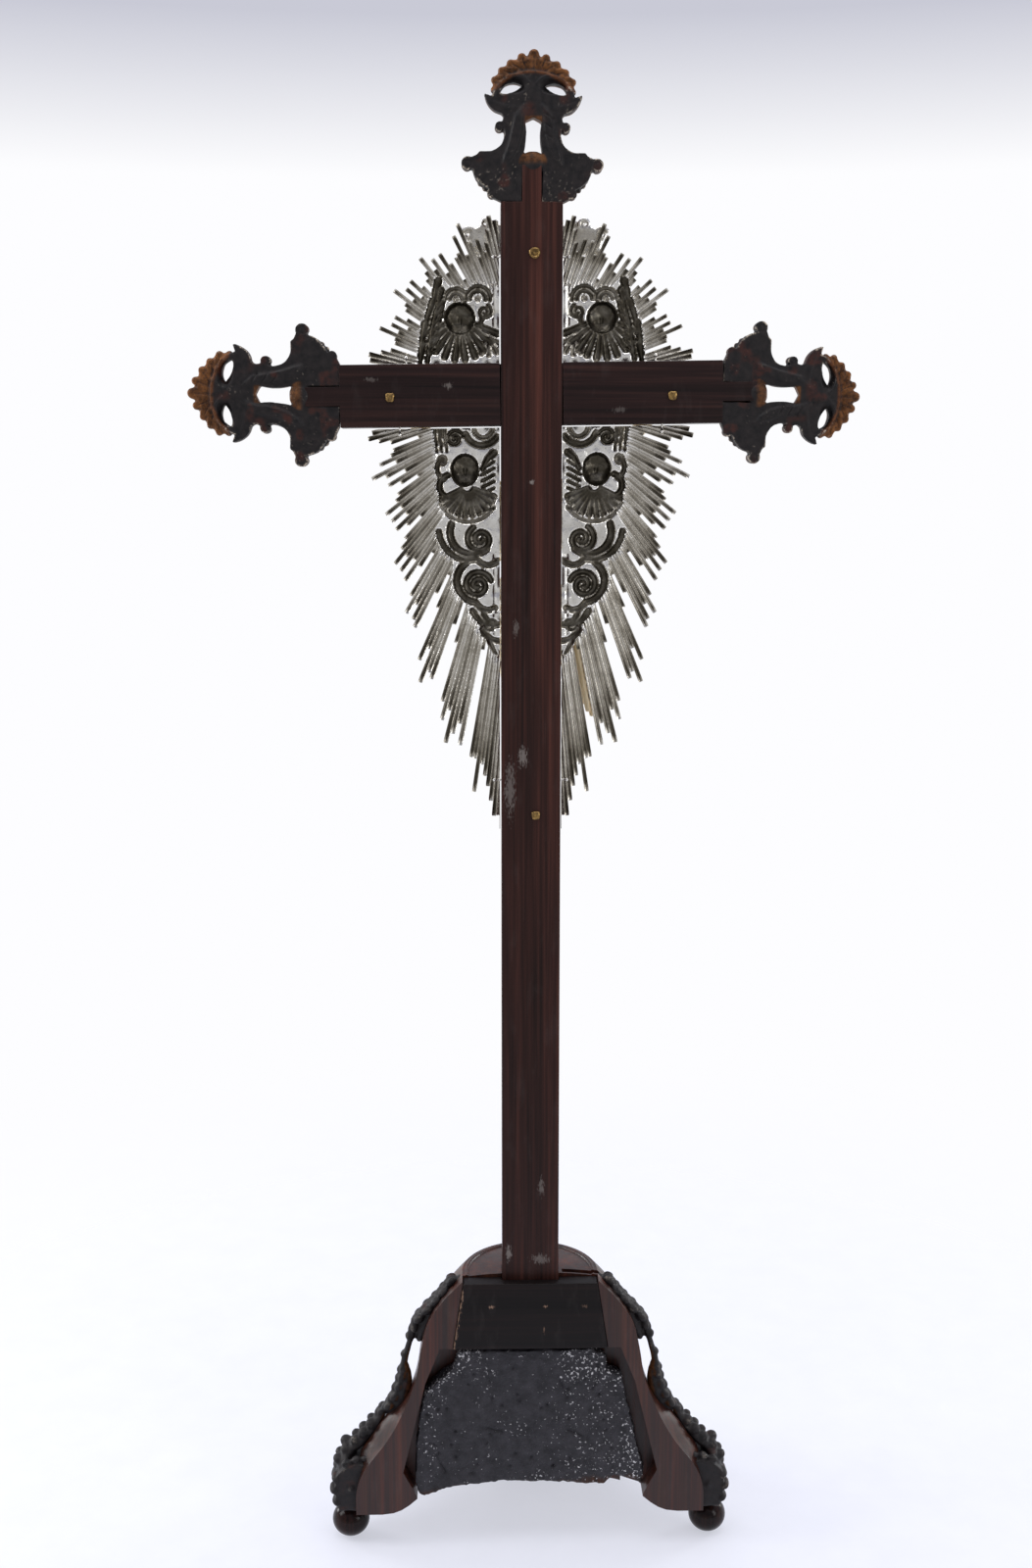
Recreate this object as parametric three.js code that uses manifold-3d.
// Standing wooden crucifix: a dark cross with carved terminals, four silver ray plates in its angles,
// an ivory figure on the front, and a flared base with carved ribs on ball feet.
import * as THREE from "three";
import { mergeVertices } from "three/addons/utils/BufferGeometryUtils.js";
import Module from "manifold-3d";

const wasm = await Module();
wasm.setup();

// Sizes in millimetres. The front faces -Y and Z is up. Y = 0 is the back face of the cross.
const GAP = 0.3; // clearance between pieces that touch
const FAR = 400; // reach of a cutting block that must clear everything beside it
const BOARD_WIDTH = 42;
const BOARD_THICKNESS = 20;
const HALF_BOARD = BOARD_WIDTH / 2;
const CROSSING_Z = 862.5;
const BAR_TILT = THREE.MathUtils.degToRad(0.8); // the bar was joined slightly out of level
const BAR_HALF = 131.5;
const UPRIGHT_TOP = 989;
const TENON_WIDTH = 13;
const TENON_LENGTH = 23.6;
const TENON_THICKNESS = 8;
const BASE_TOP = 216;
const SOCKET_DEPTH = 30;

// Finials: length of each from the end of its board, and its own lean.
const FINIAL_LENGTH = 97;
const FINIAL_THICKNESS = 11;
const FINIAL_TOP = { length: 97, lean: 0.8 };
const FINIAL_LEFT = { length: 103, lean: 2.1 };
const FINIAL_RIGHT = { length: 95, lean: 3 };
const CROWN_Y = 64; // centre of the lobed crown above the foot of the finial
const CROWN_LOBES = 9;
const LOBE_PITCH = 16.6; // degrees between lobes
const SIDE_LOBE = 31;
const TOP_LOBE = 33;

// Silver plates
const PLATE_BACK = -11.5;
const PLATE_THICKNESS = 1.8;
const PLATE_GAP = 2; // open joint between a plate and the wood
const UPPER_RAYS = { across: 114, up: 120, power: 2.4, bundle: 27 };
const LOWER_RAYS = { across: 114, up: 312, power: 1.68, bundle: 27 };
const RAY_STEPS = [30, 19, 10, 0, 8, 15, 22]; // how far each ray stops short; the first is the slit
const EDGE_STEPS = [9, 3, 0, 8, 15]; // rays beside the bar and the upright
const EDGE_SHARE = 0.6;
const EDGE_OVERLAP = 0.04; // how far the edge rays run on before they are cut straight, in radians
const REPOUSSE_WALL = 1.5;

// Nails: radii, X and Z of each, and the Y of the flesh that their heads rest on
const NAIL_SHANK = 1.6;
const NAIL_HEAD = 3.8;
const NAIL_DOME = 2.2;
const NAIL_END = 1.6;
const HAND_X = 97;
const HAND_Z = 860;
const HAND_LIFT = 1.5; // the figure's right hand is nailed this much higher
const FOOT_NAIL = [-3.4, 568.6];
const TITLE_NAIL = [-2, 955.6];
const PALM_Y = -29.6;
const INSTEP_Y = -43.6;

// Base: the outline of a rib from the top down, as radius and height
const BASE_BACK = 6;
const RIB_Y = -14;
const BASE_FLOOR = 27.5;
const OGEE = [
  [51, 216], [66, 200], [76.5, 183], [82, 163], [87, 135], [99, 105], [110.5, 85], [126, 64], [132, 47],
  [132.5, 27.5],
];
const FOOT_RADIUS = 14;
const FOOT_X = 138;

const rosewood = new THREE.MeshStandardMaterial({ color: 0x3a211b, roughness: 0.45, metalness: 0 });
const blackened = new THREE.MeshStandardMaterial({ color: 0x2b2422, roughness: 0.5, metalness: 0 });
const silver = new THREE.MeshStandardMaterial({ color: 0xb9b7b2, roughness: 0.35, metalness: 1 });
const ivory = new THREE.MeshStandardMaterial({ color: 0xe6d8b8, roughness: 0.4, metalness: 0 });
const brass = new THREE.MeshStandardMaterial({ color: 0xa8834a, roughness: 0.4, metalness: 1 });
const pitch = new THREE.MeshStandardMaterial({ color: 0x2c2c2f, roughness: 0.8, metalness: 0 });

const crucifix = new THREE.Group();

// Geometry as a closed solid for joining and cutting
function solid(geometry) {
  const bare = geometry.clone();
  bare.deleteAttribute("normal");
  bare.deleteAttribute("uv");
  const merged = mergeVertices(bare, 1e-4);
  const triVerts = new Uint32Array(merged.index.array);
  return new wasm.Manifold(
    new wasm.Mesh({ numProp: 3, vertProperties: merged.attributes.position.array, triVerts }),
  );
}

function geometryOf(body) {
  const made = body.getMesh();
  const geometry = new THREE.BufferGeometry();
  geometry.setAttribute("position", new THREE.BufferAttribute(new Float32Array(made.vertProperties), 3));
  geometry.setIndex(new THREE.BufferAttribute(new Uint32Array(made.triVerts), 1));
  geometry.computeVertexNormals();
  return geometry;
}

function piece(name, body, material) {
  const mesh = new THREE.Mesh(geometryOf(body), material);
  mesh.name = name;
  crucifix.add(mesh);
  return mesh;
}

function joined(geometries) {
  return geometries.map(solid).reduce((whole, next) => whole.add(next));
}

// The main body of a cut, without the crumbs left between overlapping hollows
function mainBody(body) {
  return body.decompose().reduce((most, next) => (next.volume() > most.volume() ? next : most));
}

// A flat board from an outline in X and Z, with its back face at the given Y
function board(outline, back, thickness, curveSegments = 4) {
  const shape = Array.isArray(outline) ? new THREE.Shape(outline) : outline;
  const geometry = new THREE.ExtrudeGeometry(shape, { depth: thickness, bevelEnabled: false, curveSegments });
  return geometry.rotateX(Math.PI / 2).translate(0, back, 0);
}

function box(x, y, z) {
  const geometry = new THREE.BoxGeometry(x[1] - x[0], y[1] - y[0], z[1] - z[0]);
  return geometry.translate((x[0] + x[1]) / 2, (y[0] + y[1]) / 2, (z[0] + z[1]) / 2);
}

function ball(centre, radii, around = 8, rows = 5) {
  return new THREE.SphereGeometry(1, around, rows).scale(...radii).translate(...centre);
}

// A closed body through rings of equal count
function loft(rings) {
  const sides = rings[0].length;
  const position = rings.flat().flatMap((p) => [p.x, p.y, p.z]);
  const index = [];
  for (let ring = 0; ring + 1 < rings.length; ring++) {
    for (let i = 0; i < sides; i++) {
      const a = ring * sides + i;
      const b = ring * sides + ((i + 1) % sides);
      index.push(a, b, a + sides, b, b + sides, a + sides);
    }
  }
  const last = (rings.length - 1) * sides;
  for (let i = 1; i + 1 < sides; i++) {
    index.push(0, i + 1, i);
    index.push(last, last + i, last + i + 1);
  }
  const geometry = new THREE.BufferGeometry();
  geometry.setAttribute("position", new THREE.BufferAttribute(new Float32Array(position), 3));
  geometry.setIndex(index);
  if (solid(geometry).volume() < 0) {
    index.reverse();
    geometry.setIndex(index);
  }
  return geometry;
}

// A round-ended limb along a curve. Each size is the half-width across X-Z and the half-depth.
function limb(points, sizes, sides = 8, steps = 2) {
  const curve = new THREE.CatmullRomCurve3(points.map((p) => new THREE.Vector3(...p)));
  const count = (points.length - 1) * steps;
  const rings = [];
  const addRing = (t, shift, share) => {
    const along = curve.getTangent(t);
    const across = new THREE.Vector3(0, 1, 0).cross(along).normalize();
    const depth = along.clone().cross(across).normalize();
    const at = Math.min(t * (sizes.length - 1), sizes.length - 1.0001);
    const low = sizes[Math.floor(at)];
    const high = sizes[Math.floor(at) + 1];
    const half = [0, 1].map((k) => share * THREE.MathUtils.lerp(low[k], high[k], at % 1));
    const centre = curve.getPoint(t).addScaledVector(along, shift * Math.min(low[0], low[1]));
    rings.push(
      Array.from({ length: sides }, (_, i) => {
        const angle = (2 * Math.PI * i) / sides;
        return centre
          .clone()
          .addScaledVector(across, half[0] * Math.cos(angle))
          .addScaledVector(depth, half[1] * Math.sin(angle));
      }),
    );
  };
  addRing(0, -0.45, 0.55);
  for (let i = 0; i <= count; i++) addRing(i / count, 0, 1);
  addRing(1, 0.45, 0.55);
  return loft(rings);
}

// A rectangle drawn in X and Z
function rectangle(left, right, bottom, top) {
  return [
    new THREE.Vector2(left, bottom),
    new THREE.Vector2(right, bottom),
    new THREE.Vector2(right, top),
    new THREE.Vector2(left, top),
  ];
}

// Bar and crossing cuts share the bar's own frame, turned about the crossing.
const barFrame = new THREE.Matrix4()
  .makeTranslation(0, 0, CROSSING_Z)
  .multiply(new THREE.Matrix4().makeRotationY(BAR_TILT));
const HALF_LAP = -BOARD_THICKNESS / 2;
const HALF_TENON = TENON_WIDTH / 2;

function drill([x, z]) {
  const hole = new THREE.CylinderGeometry(NAIL_SHANK + 2 * GAP, NAIL_SHANK + 2 * GAP, FAR, 6);
  return solid(hole.translate(x, 0, z));
}

const HAND_NAILS = [
  [HAND_X, HAND_Z],
  [-HAND_X, HAND_Z + HAND_LIFT],
];

// Upright: full width up to the shoulder, then the tenon, let into the base below
const upright = joined([
  board(rectangle(-HALF_BOARD, HALF_BOARD, BASE_TOP - SOCKET_DEPTH, UPRIGHT_TOP), 0, BOARD_THICKNESS),
  board(
    rectangle(-HALF_TENON, HALF_TENON, UPRIGHT_TOP - 1, UPRIGHT_TOP + TENON_LENGTH), 0, TENON_THICKNESS,
  ),
]);
const upperLap = box([-FAR, FAR], [-FAR, HALF_LAP + GAP / 2], [-HALF_BOARD - GAP, HALF_BOARD + GAP]);
upperLap.applyMatrix4(barFrame);
piece(
  "upright",
  upright.subtract(solid(upperLap)).subtract(drill(FOOT_NAIL)).subtract(drill(TITLE_NAIL)),
  rosewood,
);

// Crossbar, notched at the back for the upright
const bar = joined([
  board(rectangle(-BAR_HALF, BAR_HALF, -HALF_BOARD, HALF_BOARD), 0, BOARD_THICKNESS),
  board(
    rectangle(-BAR_HALF - TENON_LENGTH, BAR_HALF + TENON_LENGTH, -HALF_TENON, HALF_TENON), 0, TENON_THICKNESS,
  ),
]);
const barNotch = box([-HALF_BOARD - 2 * GAP, HALF_BOARD + 2 * GAP], [HALF_LAP - GAP / 2, FAR], [-FAR, FAR]);
const turnedBar = solid(geometryOf(bar.subtract(solid(barNotch))).applyMatrix4(barFrame));
piece("crossbar", turnedBar.subtract(drill(HAND_NAILS[0])).subtract(drill(HAND_NAILS[1])), rosewood);

// Finial, drawn pointing up with its foot on Z = 0
function finialHalfOutline() {
  const turn = THREE.MathUtils.degToRad;
  const edge = new THREE.Path([new THREE.Vector2(0, 0)]);
  edge.lineTo(21, 0);
  edge.absarc(27, 5.4, 3.2, turn(-110), turn(60));
  edge.quadraticCurveTo(39, 12, 40, 20);
  edge.absarc(43.4, 24.2, 4.2, turn(-115), turn(120));
  edge.lineTo(35.5, 31);
  edge.lineTo(28, 32);
  edge.quadraticCurveTo(19.5, 35, 19.5, 43);
  edge.absarc(22.3, 47.4, 3.3, turn(-120), turn(120));
  edge.lineTo(20.2, 54.5);
  edge.lineTo(22, 57);
  edge.quadraticCurveTo(32, 58.5, 32.8, 68);
  edge.lineTo(26, 67.2);
  const half = (CROWN_LOBES - 1) / 2;
  for (let lobe = 0; lobe <= half; lobe++) {
    const angle = 90 - (half - lobe) * LOBE_PITCH;
    const reach = lobe === half ? TOP_LOBE : SIDE_LOBE;
    for (const [swing, share] of [[-0.5, 0.8], [-0.28, 0.96], [0, 1], [0.28, 0.96]]) {
      const at = turn(angle + swing * LOBE_PITCH);
      if (swing <= 0 || lobe < half) {
        edge.lineTo(share * reach * Math.cos(at), CROWN_Y + share * reach * Math.sin(at));
      }
    }
  }
  return edge.getPoints(2);
}

function lensOpening(side) {
  const eye = new THREE.Path([new THREE.Vector2(side * 6.2, 71)]);
  eye.quadraticCurveTo(side * 14.4, 76.5, side * 21.5, 68.8);
  eye.quadraticCurveTo(side * 13.2, 65, side * 6.2, 71);
  return new THREE.Path(eye.getPoints(4).slice(0, -1));
}

function stemOpening() {
  const gap = new THREE.Path([new THREE.Vector2(-6.8, 31)]);
  gap.lineTo(6.8, 31);
  gap.quadraticCurveTo(3.6, 42, 5.2, 51.2);
  gap.lineTo(0, 54);
  gap.lineTo(-5.2, 51.2);
  gap.quadraticCurveTo(-3.6, 42, -6.8, 31);
  return gap.getPoints(3).slice(0, -1);
}

function finialSolid() {
  const right = finialHalfOutline();
  const left = right.slice(1, -1).map((p) => new THREE.Vector2(-p.x, p.y));
  const shape = new THREE.Shape([...right, ...left.reverse()]);
  shape.holes.push(lensOpening(1), lensOpening(-1));
  const plain = solid(board(shape, 0, FINIAL_THICKNESS));
  const pierced = plain.subtract(solid(board(stemOpening(), 20, 40)));
  const parts = [];
  const mid = -FINIAL_THICKNESS / 2;
  for (const side of [-1, 1]) {
    const stem = [
      [22, 21.5], [15, 32.5], [10.6, 43], [10.4, 51.5], [5, 60],
    ].map(([x, z]) => [side * x, mid, z]);
    parts.push(limb(stem, [[1.6, 5], [4.2, 8.5], [4.6, 8.8], [4.4, 8.4], [3, 6]], 6, 1));
    const scroll = new THREE.CylinderGeometry(4.6, 4.6, FINIAL_THICKNESS + 3, 8);
    parts.push(scroll.translate(side * 43.4, mid, 24.2));
  }
  parts.push(ball([0, mid - 1, 25], [9, 7, 8], 8, 4));
  return pierced.add(joined(parts));
}

// Each finial stretched to its length, leaned, and set on the end of its board
const FOOT_SPREAD = 9; // how far the foot of a finial overhangs the board
const finial = geometryOf(finialSolid());
function setFinial(name, { length, lean }, turn, x, z, frame) {
  const stretched = finial.clone();
  const stretch = new THREE.Matrix4().makeScale(1, 1, length / FINIAL_LENGTH);
  const tilt = new THREE.Matrix4().makeRotationY(turn);
  const seat = new THREE.Matrix4().makeTranslation(x, 0, z);
  const placed = new THREE.Matrix4().copy(frame).multiply(seat).multiply(tilt).multiply(stretch);
  let body = solid(stretched.applyMatrix4(placed));
  const leaned = THREE.MathUtils.degToRad(lean);
  const foot = new THREE.Vector3(x, 0, z).applyMatrix4(frame);
  const swing = new THREE.Matrix4()
    .makeTranslation(foot.x, 0, foot.z)
    .multiply(new THREE.Matrix4().makeRotationY(-leaned))
    .multiply(new THREE.Matrix4().makeTranslation(-foot.x, 0, -foot.z));
  body = solid(geometryOf(body).applyMatrix4(swing));
  // the slot and the flat foot follow the board even where the finial leans
  const clear = joined([
    box([-HALF_BOARD - FOOT_SPREAD, HALF_BOARD + FOOT_SPREAD], [-FAR, FAR], [-FAR, GAP]),
    box([-HALF_TENON - GAP, HALF_TENON + GAP], [-TENON_THICKNESS - GAP, FAR], [-FAR, TENON_LENGTH + GAP]),
  ]);
  const squared = new THREE.Matrix4().copy(frame).multiply(seat).multiply(tilt);
  return piece(name, body.subtract(solid(geometryOf(clear).applyMatrix4(squared))), blackened);
}
setFinial("finial_top", FINIAL_TOP, 0, 0, UPRIGHT_TOP, new THREE.Matrix4());
setFinial("finial_left", FINIAL_LEFT, Math.PI / 2, BAR_HALF, 0, barFrame);
setFinial("finial_right", FINIAL_RIGHT, -Math.PI / 2, -BAR_HALF, 0, barFrame);

// Silver plates. Angles are measured from the bar towards the upright, radii from the crossing.
function envelope({ across, up, power }, angle) {
  const sum = (Math.cos(angle) / across) ** power + (Math.sin(angle) / up) ** power;
  return sum ** (-1 / power);
}

// Stepped rays: full bundles between slits, and an unbroken bundle along each straight edge
function plateOutline(rays, sideX, sideZ) {
  const inner = HALF_BOARD + PLATE_GAP;
  const barStart = Math.asin(inner / rays.across) - EDGE_OVERLAP;
  const first = Math.asin(inner / (EDGE_SHARE * rays.across));
  const last = Math.acos(inner / (EDGE_SHARE * rays.up));
  const uprightEnd = Math.acos(inner / rays.up) + EDGE_OVERLAP;
  const points = [new THREE.Vector2(0, 0)];
  const addBundle = (angle, width, steps) => {
    steps.forEach((short, step) => {
      const from = angle + (width * step) / steps.length;
      const to = angle + (width * (step + 1)) / steps.length;
      const radius = envelope(rays, (from + to) / 2) - short;
      for (const at of [from, to]) {
        points.push(new THREE.Vector2(sideX * radius * Math.cos(at), sideZ * radius * Math.sin(at)));
      }
    });
  };
  addBundle(barStart, first - barStart, EDGE_STEPS);
  let arc = 0;
  for (let angle = first; angle < last; angle += 0.01) arc += 0.01 * envelope(rays, angle);
  const bundles = Math.round(arc / rays.bundle);
  let angle = first;
  for (let i = 0; i < bundles; i++) {
    const share = arc / bundles / envelope(rays, angle);
    const width = i === bundles - 1 ? last - angle : Math.min(share, last - angle);
    addBundle(angle, width, RAY_STEPS);
    angle += width;
  }
  addBundle(last, uprightEnd - last, [...EDGE_STEPS].reverse());
  return points;
}

// Raised forms beaten up from the back: place from the crossing, half-sizes, height and turn in degrees
const UPPER_FORMS = [
  [44, 51, 10.5, 11.5, 9.5, 0], // head
  [64, 55, 5, 20, 5.5, -22], // outer wing
  [36, 31, 4, 11, 4.5, 12],
  [44, 30, 4.2, 10, 5, 0],
  [52, 31, 4, 11, 4.5, -14], // collar of feathers
  [31, 63, 8.5, 6, 5, 20], // clouds
  [45, 68, 9, 5.5, 5, 0],
];
const LOWER_FORMS = [
  [49, -30, 9, 7, 5, 0], // scroll of cloud
  [44, -51, 9.5, 11.5, 9.5, 0], // head
  [29, -54, 4.5, 17, 5, 6], // wing beside the upright
  [36, -75, 4, 11, 4.5, 12],
  [44, -76, 4.2, 11, 5, 0],
  [52, -75, 4, 11, 4.5, -14], // collar of feathers
  [34, -100, 9, 8, 5, 0], // falling clouds
  [49, -97, 7, 10, 4.5, 15],
  [36, -127, 11, 11, 5.5, 0],
  [29, -152, 6, 10, 4.5, 20],
  [27, -170, 3.5, 10, 3.5, 6],
];

function plate(name, rays, forms, sideX, sideZ) {
  const sheet = solid(board(plateOutline(rays, sideX, sideZ), PLATE_BACK, PLATE_THICKNESS));
  const form = (inset) =>
    joined(
      forms.map(([x, z, wide, high, rise, turn]) => {
        const dome = ball([0, 0, 0], [wide - inset, rise + PLATE_THICKNESS - inset, high - inset], 6, 4);
        dome.rotateY(THREE.MathUtils.degToRad(sideX * turn));
        return dome.translate(sideX * x, PLATE_BACK, z);
      }),
    );
  const inner = HALF_BOARD + PLATE_GAP;
  const behind = box([-FAR, FAR], [PLATE_BACK, FAR], [-FAR, FAR]);
  const uprightSide = box(sideX > 0 ? [-FAR, inner] : [-inner, FAR], [-FAR, FAR], [-FAR, FAR]);
  const barSide = box([-FAR, FAR], [-FAR, FAR], sideZ > 0 ? [-FAR, inner] : [-inner, FAR]);
  barSide.applyMatrix4(new THREE.Matrix4().makeRotationY(BAR_TILT));
  const body = sheet
    .add(form(0))
    .subtract(form(REPOUSSE_WALL))
    .subtract(solid(behind))
    .subtract(solid(uprightSide))
    .subtract(solid(barSide));
  const raised = solid(geometryOf(mainBody(body)).translate(0, 0, CROSSING_Z));
  return piece(name, raised, silver);
}
plate("glory_upper_left", UPPER_RAYS, UPPER_FORMS, 1, 1);
plate("glory_upper_right", UPPER_RAYS, UPPER_FORMS, -1, 1);
plate("glory_lower_left", LOWER_RAYS, LOWER_FORMS, 1, -1);
plate("glory_lower_right", LOWER_RAYS, LOWER_FORMS, -1, -1);

// Title plaque: a panel between scrolled ends, flat against the front of the upright
const PLAQUE_X = -3;
const PLAQUE_Z = 966;
const PLAQUE_FRONT = -BOARD_THICKNESS - GAP;
const PLAQUE_THICKNESS = 2;
function plaqueOutline() {
  const turn = THREE.MathUtils.degToRad;
  const edge = new THREE.Path([new THREE.Vector2(0, -16)]);
  edge.lineTo(33, -11);
  edge.absarc(38, -8, 5, turn(-120), turn(70));
  edge.lineTo(40, 0);
  edge.absarc(46, 5, 5, turn(-110), turn(130));
  edge.absarc(34, 12, 5, turn(-10), turn(150));
  edge.lineTo(20, 11);
  edge.quadraticCurveTo(10, 11, 0, 16);
  const right = edge.getPoints(2);
  const left = right.slice(1, -1).map((p) => new THREE.Vector2(-p.x, p.y));
  return [...right, ...left.reverse()].map((p) => new THREE.Vector2(p.x + PLAQUE_X, p.y + PLAQUE_Z));
}
const plaque = solid(board(plaqueOutline(), PLAQUE_FRONT, PLAQUE_THICKNESS));
piece("title_plaque", plaque.subtract(drill(TITLE_NAIL)), silver);

// A nail right through the wood, with a domed head in front and a squared end at the back
function nail(name, [x, z], front) {
  const shank = new THREE.CylinderGeometry(NAIL_SHANK, NAIL_SHANK, 2 * GAP - front + 1, 6);
  shank.translate(x, (2 * GAP + front - 1) / 2, z);
  const head = ball([x, front, z], [NAIL_HEAD, NAIL_DOME, NAIL_HEAD], 6, 4);
  const around = 2 * NAIL_HEAD;
  const flat = box([x - around, x + around], [front - GAP, FAR], [z - around, z + around]);
  const end = new THREE.CylinderGeometry(NAIL_HEAD * 0.8, NAIL_HEAD, NAIL_END, 6);
  end.translate(x, GAP + NAIL_END / 2, z);
  return piece(name, solid(head).subtract(solid(flat)).add(solid(shank)).add(solid(end)), brass);
}
nail("title_nail", TITLE_NAIL, PLAQUE_FRONT - PLAQUE_THICKNESS - GAP);
nail("hand_nail_left", HAND_NAILS[0], PALM_Y);
nail("hand_nail_right", HAND_NAILS[1], PALM_Y);
nail("foot_nail", FOOT_NAIL, INSTEP_Y);

// Ivory figure. Left and right are the figure's own; the head bends to its right, towards -X.
function clothRings() {
  const levels = [
    [738, 22, 14.5], [724, 26, 17], [706, 28, 18], [690, 27, 18.5], [676, 24, 17],
  ];
  return levels.map(([z, wide, deep], row) =>
    Array.from({ length: 18 }, (_, i) => {
      const angle = (2 * Math.PI * i) / 18;
      const fold = 1 + 0.05 * Math.sin(5 * angle + row * 1.1);
      const sag = -7 * Math.max(0, -Math.sin(angle)) * (row > 2 ? 1 : 0.3);
      return new THREE.Vector3(wide * fold * Math.cos(angle), -38 + deep * fold * Math.sin(angle), z + sag);
    }),
  );
}

const head = ball([0, 0, 0], [11.6, 13.4, 16.4], 9, 7);
head.rotateX(THREE.MathUtils.degToRad(14)).rotateY(THREE.MathUtils.degToRad(-16)).translate(-8, -49, 831);
const hair = ball([0, 0, 0], [13, 13, 15.5], 9, 6);
hair.rotateY(THREE.MathUtils.degToRad(-16)).translate(-7.5, -44.5, 834);
const body = joined([
  limb(
    [[0, -37.5, 704], [0, -37.5, 724], [0, -39, 746], [0, -41.5, 769], [-0.5, -42, 787], [-1, -39.5, 800]],
    [[23, 14.5], [23, 14.5], [18.6, 12.6], [22.6, 15], [26, 15.5], [19, 10]], 12, 1,
  ),
  ball([20, -40, 794], [10, 10.5, 10], 8, 6),
  ball([-20, -40, 794], [10, 10.5, 10], 8, 6),
  limb([[-1.5, -41, 800], [-6, -45.5, 822]], [[8, 7.5], [7.5, 7.5]], 8, 1),
  head,
  hair,
  limb([[-10, -58, 822], [-10, -58.5, 812], [-9.5, -56, 805]], [[7, 5], [5.5, 4.5], [2, 2]], 6, 1),
  limb([[-18, -44, 836], [-20, -44, 820], [-18, -46, 804], [-17, -49, 793]], [[4, 6], [5, 7], [4, 6], [2, 3]], 6, 1),
  limb([[3, -42, 836], [7, -42, 820], [9, -44, 806], [10, -47, 797]], [[4, 6], [4.5, 7], [4, 6], [2, 3]], 6, 1),
  loft(clothRings()),
  limb(
    [[12.5, -38, 708], [12, -46, 682], [9.5, -52.5, 646], [7, -46, 618], [3.5, -33.5, 590]],
    [[13, 13.5], [12, 12.5], [8.6, 9], [8.4, 9], [5, 5.4]], 8, 1,
  ),
  limb(
    [[-12.5, -38, 708], [-11.5, -47, 682], [-9, -55, 646], [-6.5, -50, 618], [-3.5, -41, 592]],
    [[13, 13.5], [12, 12.5], [8.6, 9], [8.4, 9], [5, 5.4]], 8, 1,
  ),
  limb([[3.5, -33, 592], [0, -29, 574], [-4, -25.5, 555]], [[5.2, 5.5], [6.4, 4.4], [5.6, 2.6]], 8, 1),
  limb([[-3.5, -41, 594], [-4, -38.5, 574], [-3, -34.5, 553]], [[5.2, 5.5], [6.4, 4.4], [5.6, 2.8]], 8, 1),
  ball([-28, -42, 717], [7.5, 7, 7.5], 8, 6),
  limb(
    [[-30, -41, 714], [-36, -39, 694], [-42, -37.5, 666], [-47, -36.5, 636]],
    [[5, 4], [6, 4.5], [7.5, 4.5], [8, 3.4]], 8, 1,
  ),
]);
const crossFront = box([-FAR, FAR], [-BOARD_THICKNESS - GAP, FAR], [0, 3 * FAR]);

// Arms carved apart and set against the shoulders
function arm(side, lift) {
  const reach = [
    [25, -39.5, 796], [44, -37, 811], [63, -33.5, 827], [78, -29.5, 841], [89, -26, 851 + lift],
  ].map(([x, y, z]) => [side * x, y, z]);
  const hand = [
    [88, -26.2, 850 + lift], [HAND_X, -25, HAND_Z + lift], [105, -25, 868 + lift], [110, -26.5, 873 + lift],
  ].map(([x, y, z]) => [side * x, y, z]);
  return joined([
    limb(reach, [[8.6, 9], [7.4, 7.8], [6.2, 6.4], [5.6, 5.4], [3.8, 3.6]], 8, 1),
    limb(hand, [[4.2, 3.2], [6.6, 3.6], [5.2, 2.8], [3, 2]], 8, 1),
  ]).subtract(solid(crossFront));
}
// The space beyond the joint of an arm, which slopes across the shoulder
function beyondShoulder(side, shift) {
  const seam = new THREE.BoxGeometry(120, 60, 40).translate(60 + shift, 0, 0);
  seam.rotateY(THREE.MathUtils.degToRad(-38));
  seam.translate(25, -40, 796);
  return side > 0 ? solid(seam) : solid(seam.rotateZ(Math.PI).translate(0, -80, 0));
}
const armLeft = arm(1, 0).intersect(beyondShoulder(1, GAP));
const armRight = arm(-1, HAND_LIFT).intersect(beyondShoulder(-1, GAP));
piece("corpus_arm_left", armLeft.subtract(drill(HAND_NAILS[0])), ivory);
piece("corpus_arm_right", armRight.subtract(drill(HAND_NAILS[1])), ivory);
piece(
  "corpus_body",
  body
    .subtract(solid(crossFront))
    .subtract(beyondShoulder(1, 0))
    .subtract(beyondShoulder(-1, 0))
    .subtract(drill(FOOT_NAIL)),
  ivory,
);

// Base: rings that pass from a half round at the top to half a hexagon at the feet
const ogeeCurve = new THREE.SplineCurve(OGEE.map(([r, z]) => new THREE.Vector2(r, z)));
function baseRing(radius, z, hexagon, points = 12) {
  const ring = [new THREE.Vector3(radius, BASE_BACK, z)];
  for (let i = 0; i <= points; i++) {
    const angle = (Math.PI * i) / points;
    const third = (angle % (Math.PI / 3)) - Math.PI / 6;
    const flat = Math.cos(Math.PI / 6) / Math.cos(third);
    const reach = radius * THREE.MathUtils.lerp(1, flat, hexagon);
    ring.push(new THREE.Vector3(reach * Math.cos(angle), RIB_Y - reach * Math.sin(angle), z));
  }
  ring.push(new THREE.Vector3(-radius, BASE_BACK, z));
  return ring;
}
function baseLoft(grow) {
  const rings = [];
  for (let i = 0; i < OGEE.length; i++) {
    const [radius, z] = OGEE[i];
    const hexagon = THREE.MathUtils.smoothstep(i, 0, 3);
    rings.push(baseRing(radius + grow, i === OGEE.length - 1 ? z - grow : z, hexagon));
  }
  return solid(loft(rings));
}

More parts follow.
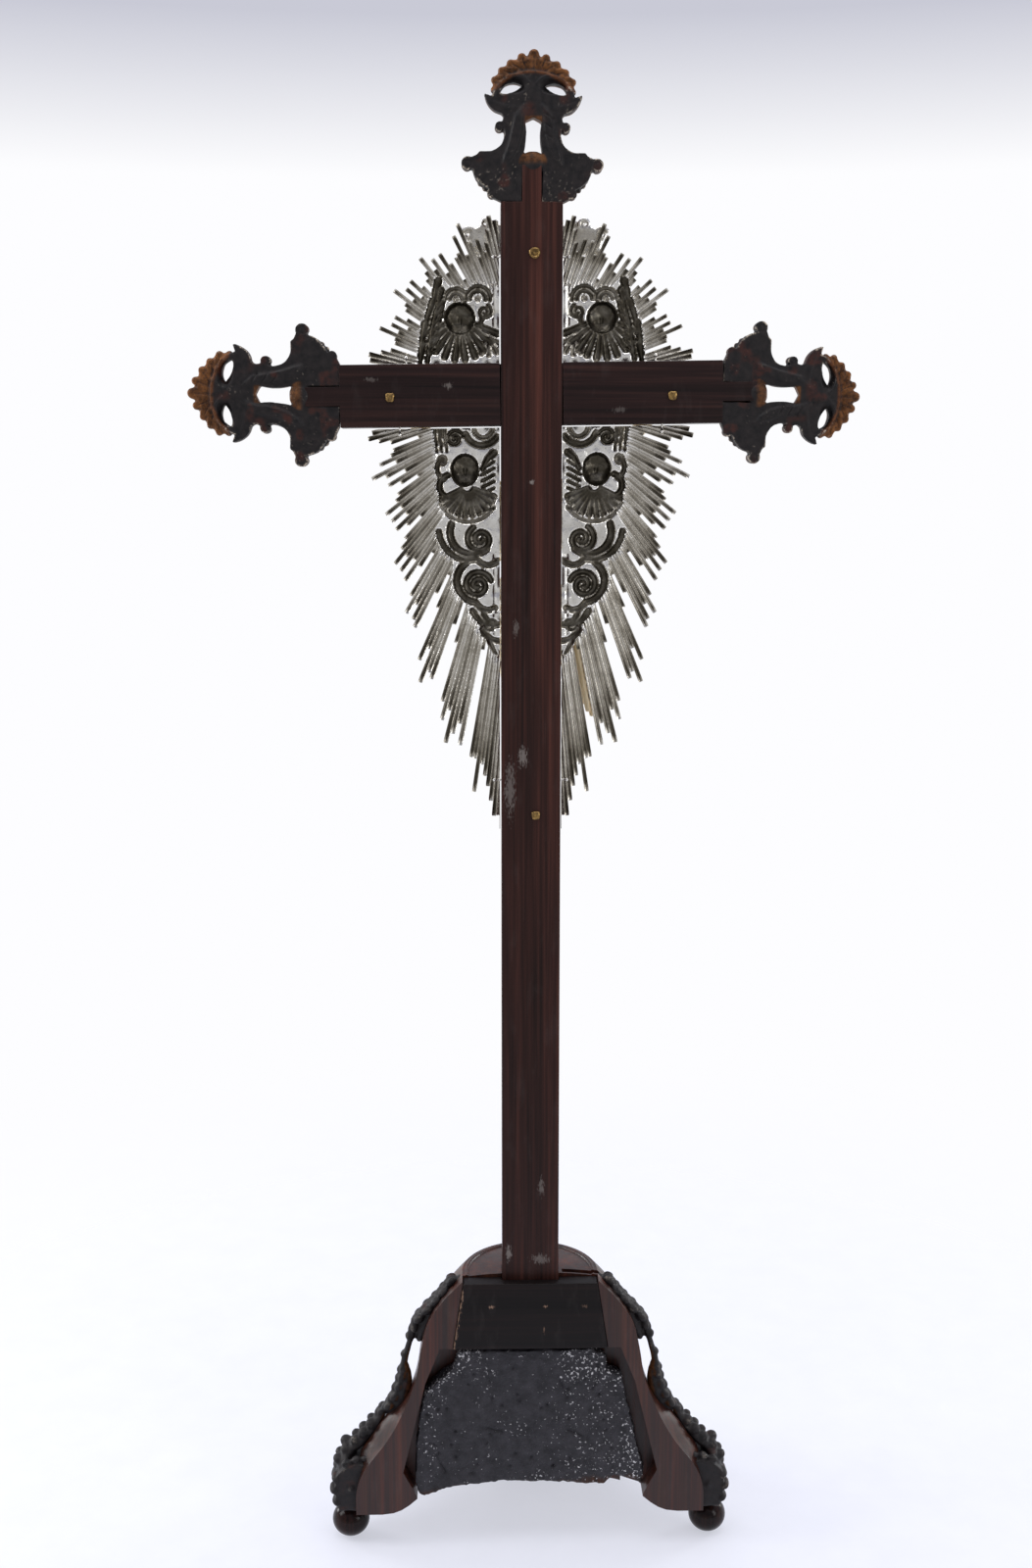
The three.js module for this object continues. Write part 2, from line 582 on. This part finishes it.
const BOARD_LOW = 163;
const backBoard = [
  new THREE.Vector2(-58.5, BOARD_LOW),
  new THREE.Vector2(58.5, BOARD_LOW),
  new THREE.Vector2(50.5, BASE_TOP - 1),
  new THREE.Vector2(-50.5, BASE_TOP - 1),
];
const recess = [
  new THREE.Vector2(-97, 0),
  new THREE.Vector2(97, 0),
  new THREE.Vector2(97, 60),
  new THREE.Vector2(79, 135),
  new THREE.Vector2(68, BOARD_LOW - GAP),
  new THREE.Vector2(-68, BOARD_LOW - GAP),
  new THREE.Vector2(-79, 135),
  new THREE.Vector2(-97, 60),
];
// Rough slab: only the broken corners and the worn lower edge that show
const slabOutline = [
  [53, 159], [-45, 160], [-56, 153], [-58, 142], [-69, 138], [-73, 118], [-80, 88], [-87, 53], [-63, 56],
  [-57, 49], [-32, 51], [21, 53], [43, 50], [62, 48], [81, 40], [87, 36], [92, 49], [84.5, 101], [79.5, 125],
  [69, 136], [58, 145],
].map(([x, z]) => new THREE.Vector2(x, z));
const SLAB_BACK = 3.5;
const SLAB_THICKNESS = 13;
const RECESS_FLOOR = -11;
const PANEL_FLOOR = -5;
const PANEL_HALF_TOP = 50.8;
const PANEL_PROUD = 2; // how far the panel stands out behind the base
const PANEL_THICKNESS = 12.6;

const ARCH_HALF = 101;
const ARCH_RISE = 26;
const hollow = [ball([0, -20, BASE_FLOOR], [ARCH_HALF, 88, ARCH_RISE], 16, 8)];
for (const turn of [-60, 0, 60]) {
  const arch = ball([0, -90, 0], [44, 70, 20], 8, 6).rotateZ(THREE.MathUtils.degToRad(turn));
  hollow.push(arch.translate(0, RIB_Y, BASE_FLOOR));
}
const socket = solid(
  box([-HALF_BOARD - GAP, HALF_BOARD + GAP], [-BOARD_THICKNESS - GAP, GAP], [BASE_TOP - SOCKET_DEPTH - GAP, FAR]),
);
const panelSeat = solid(board(backBoard, FAR, FAR - PANEL_FLOOR)).add(
  solid(box([-PANEL_HALF_TOP, PANEL_HALF_TOP], [PANEL_FLOOR, FAR], [BASE_TOP - 1 - GAP, FAR])),
);
const baseBody = baseLoft(0)
  .subtract(solid(board(recess, FAR, FAR - RECESS_FLOOR)))
  .subtract(joined(hollow))
  .subtract(socket)
  .subtract(panelSeat);
piece("base_body", baseBody, rosewood);
const shrunkBoard = backBoard.map((p) => new THREE.Vector2(p.x - Math.sign(p.x) * 2 * GAP, p.y));
const panel = solid(board(shrunkBoard, BASE_BACK + PANEL_PROUD, PANEL_THICKNESS));
piece("base_back_board", panel.subtract(socket), rosewood);
piece("base_back_slab", solid(board(slabOutline, SLAB_BACK, SLAB_THICKNESS)), pitch);

// Carved ribs: a strip of scalloped leaves that stands clear of the outline in the middle and curls into a foot
const SCALLOPS = 16;
const RIB_HALF_WIDTH = 14;
const FOOT_HALF_WIDTH = 18;
function ribStrip() {
  const path = [];
  const sizes = [];
  for (let i = 0; i < SCALLOPS; i++) {
    const t = 0.06 + (0.68 * i) / (SCALLOPS - 1);
    const at = ogeeCurve.getPointAt(t);
    const clear = Math.exp(-(((at.y - 150) / 15) ** 2));
    const leaf = i % 2 ? 1 : 0.72;
    path.push([at.x + 1.5 + 4.5 * clear, 0, at.y + 1]);
    sizes.push([(4.6 - 1.4 * clear) * leaf, RIB_HALF_WIDTH * (1 - 0.35 * clear) * (0.6 + 0.4 * leaf)]);
  }
  for (const [r, z, half] of [[128, 64, 8], [136, 56, 11], [139, 45, 12.5], [138, 35, 12], [137, 27, 11]]) {
    path.push([r, 0, z]);
    sizes.push([half, FOOT_HALF_WIDTH]);
  }
  const underside = box([0, 200], [-40, 40], [0, BASE_FLOOR + GAP]);
  return solid(limb(path, sizes, 6, 1)).subtract(solid(underside));
}
const strip = geometryOf(ribStrip());
const clearBody = baseLoft(GAP);
function rib(name, angle) {
  const turned = strip.clone().rotateZ(-THREE.MathUtils.degToRad(angle)).translate(0, RIB_Y, 0);
  return piece(name, mainBody(solid(turned).subtract(clearBody)), blackened);
}
rib("base_rib_left", 0);
rib("base_rib_right", 180);
rib("base_rib_front_left", 60);
rib("base_rib_front_right", 120);

// Turned ball feet with a small flat under each
function footProfile() {
  const profile = [new THREE.Vector2(0, 0), new THREE.Vector2(4.5, 0)];
  for (const angle of [-56, -20, 20, 56]) {
    const turn = THREE.MathUtils.degToRad(angle);
    profile.push(new THREE.Vector2(FOOT_RADIUS * Math.cos(turn), FOOT_RADIUS * (0.96 + 0.96 * Math.sin(turn))));
  }
  profile.push(new THREE.Vector2(5, BASE_FLOOR - GAP), new THREE.Vector2(0, BASE_FLOOR - GAP));
  return profile;
}
function foot(name, angle) {
  const turn = THREE.MathUtils.degToRad(angle);
  const turned = new THREE.LatheGeometry(footProfile(), 10).rotateX(Math.PI / 2);
  turned.translate(FOOT_X * Math.cos(turn), RIB_Y - FOOT_X * Math.sin(turn), 0);
  return piece(name, solid(turned), rosewood);
}
foot("foot_back_left", 0);
foot("foot_back_right", 180);
foot("foot_front_left", 60);
foot("foot_front_right", 120);

// The frame's origin is the middle of the footprint on the floor.
const extent = new THREE.Box3().setFromObject(crucifix);
const middle = extent.getCenter(new THREE.Vector3());
crucifix.children.forEach((child) => child.geometry.translate(-middle.x, -middle.y, 0));

export default crucifix;
